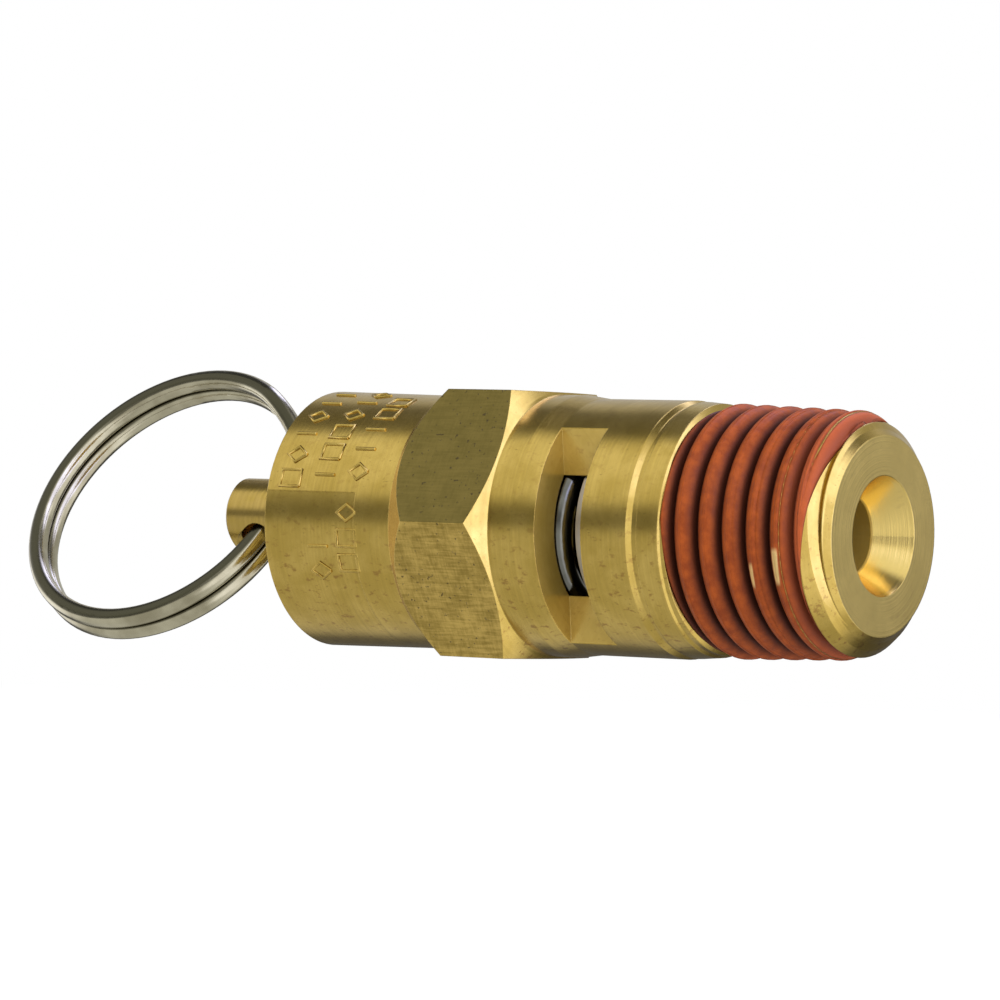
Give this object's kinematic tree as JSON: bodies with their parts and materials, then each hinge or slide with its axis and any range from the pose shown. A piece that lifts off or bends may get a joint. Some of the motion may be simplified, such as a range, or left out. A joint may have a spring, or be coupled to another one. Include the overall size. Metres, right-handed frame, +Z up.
{
  "type": "pressure relief valve",
  "caption": "Ring-pull spring-loaded pressure relief valve with a taper pipe thread inlet, hexagon body, side vent slots and a split pull ring.",
  "frame": {"origin": "centre of the inlet end face, on the valve axis", "axes": "+X along the valve axis, out of the inlet; +Z up, with the valve lying on one flat of its hexagon; +Y away from the viewer of the front vent slot"},
  "size_m": [0.0559, 0.0164, 0.0153],
  "materials": {
    "body_brass": "machined",
    "inner_brass": "machined",
    "stem_brass": "turned",
    "sealant": "satin",
    "seat_rubber": "matte",
    "spring_steel": "bright drawn",
    "fastener_steel": "satin",
    "ring_steel": "nickel plated"
  },
  "bodies": {
    "valve_body": {"valve_body": "body_brass", "thread_sealant": "sealant", "spring": "spring_steel", "upper_spring_washer": "fastener_steel", "adjusting_screw": "inner_brass", "lock_ring": "inner_brass"},
    "lifter": {"lower_spring_washer": "fastener_steel"},
    "stem": {"disc_holder": "inner_brass", "seat_disc": "seat_rubber", "disc_washer": "inner_brass", "disc_screw": "fastener_steel", "stem": "stem_brass"},
    "pull_ring": {"pull_ring": "ring_steel"}
  },
  "joints": [
    {"name": "lift", "type": "slide", "parent": "valve_body", "child": "lifter", "axis": [-1, 0, 0], "range_m": [0, 0.0016], "stiffness_N_per_m": 9000, "springref_m": -0.0025, "deforming": ["spring"]},
    {"name": "stem_turn", "type": "hinge", "parent": "lifter", "child": "stem", "pos_m": [0, 0, 0], "axis": [1, 0, 0], "continuous": true},
    {"name": "ring_swing", "type": "hinge", "parent": "stem", "child": "pull_ring", "pos_m": [-0.03897, 0, 0], "axis": [0, 0.5736, 0.8192], "range_deg": [-100, 100]}
  ]
}
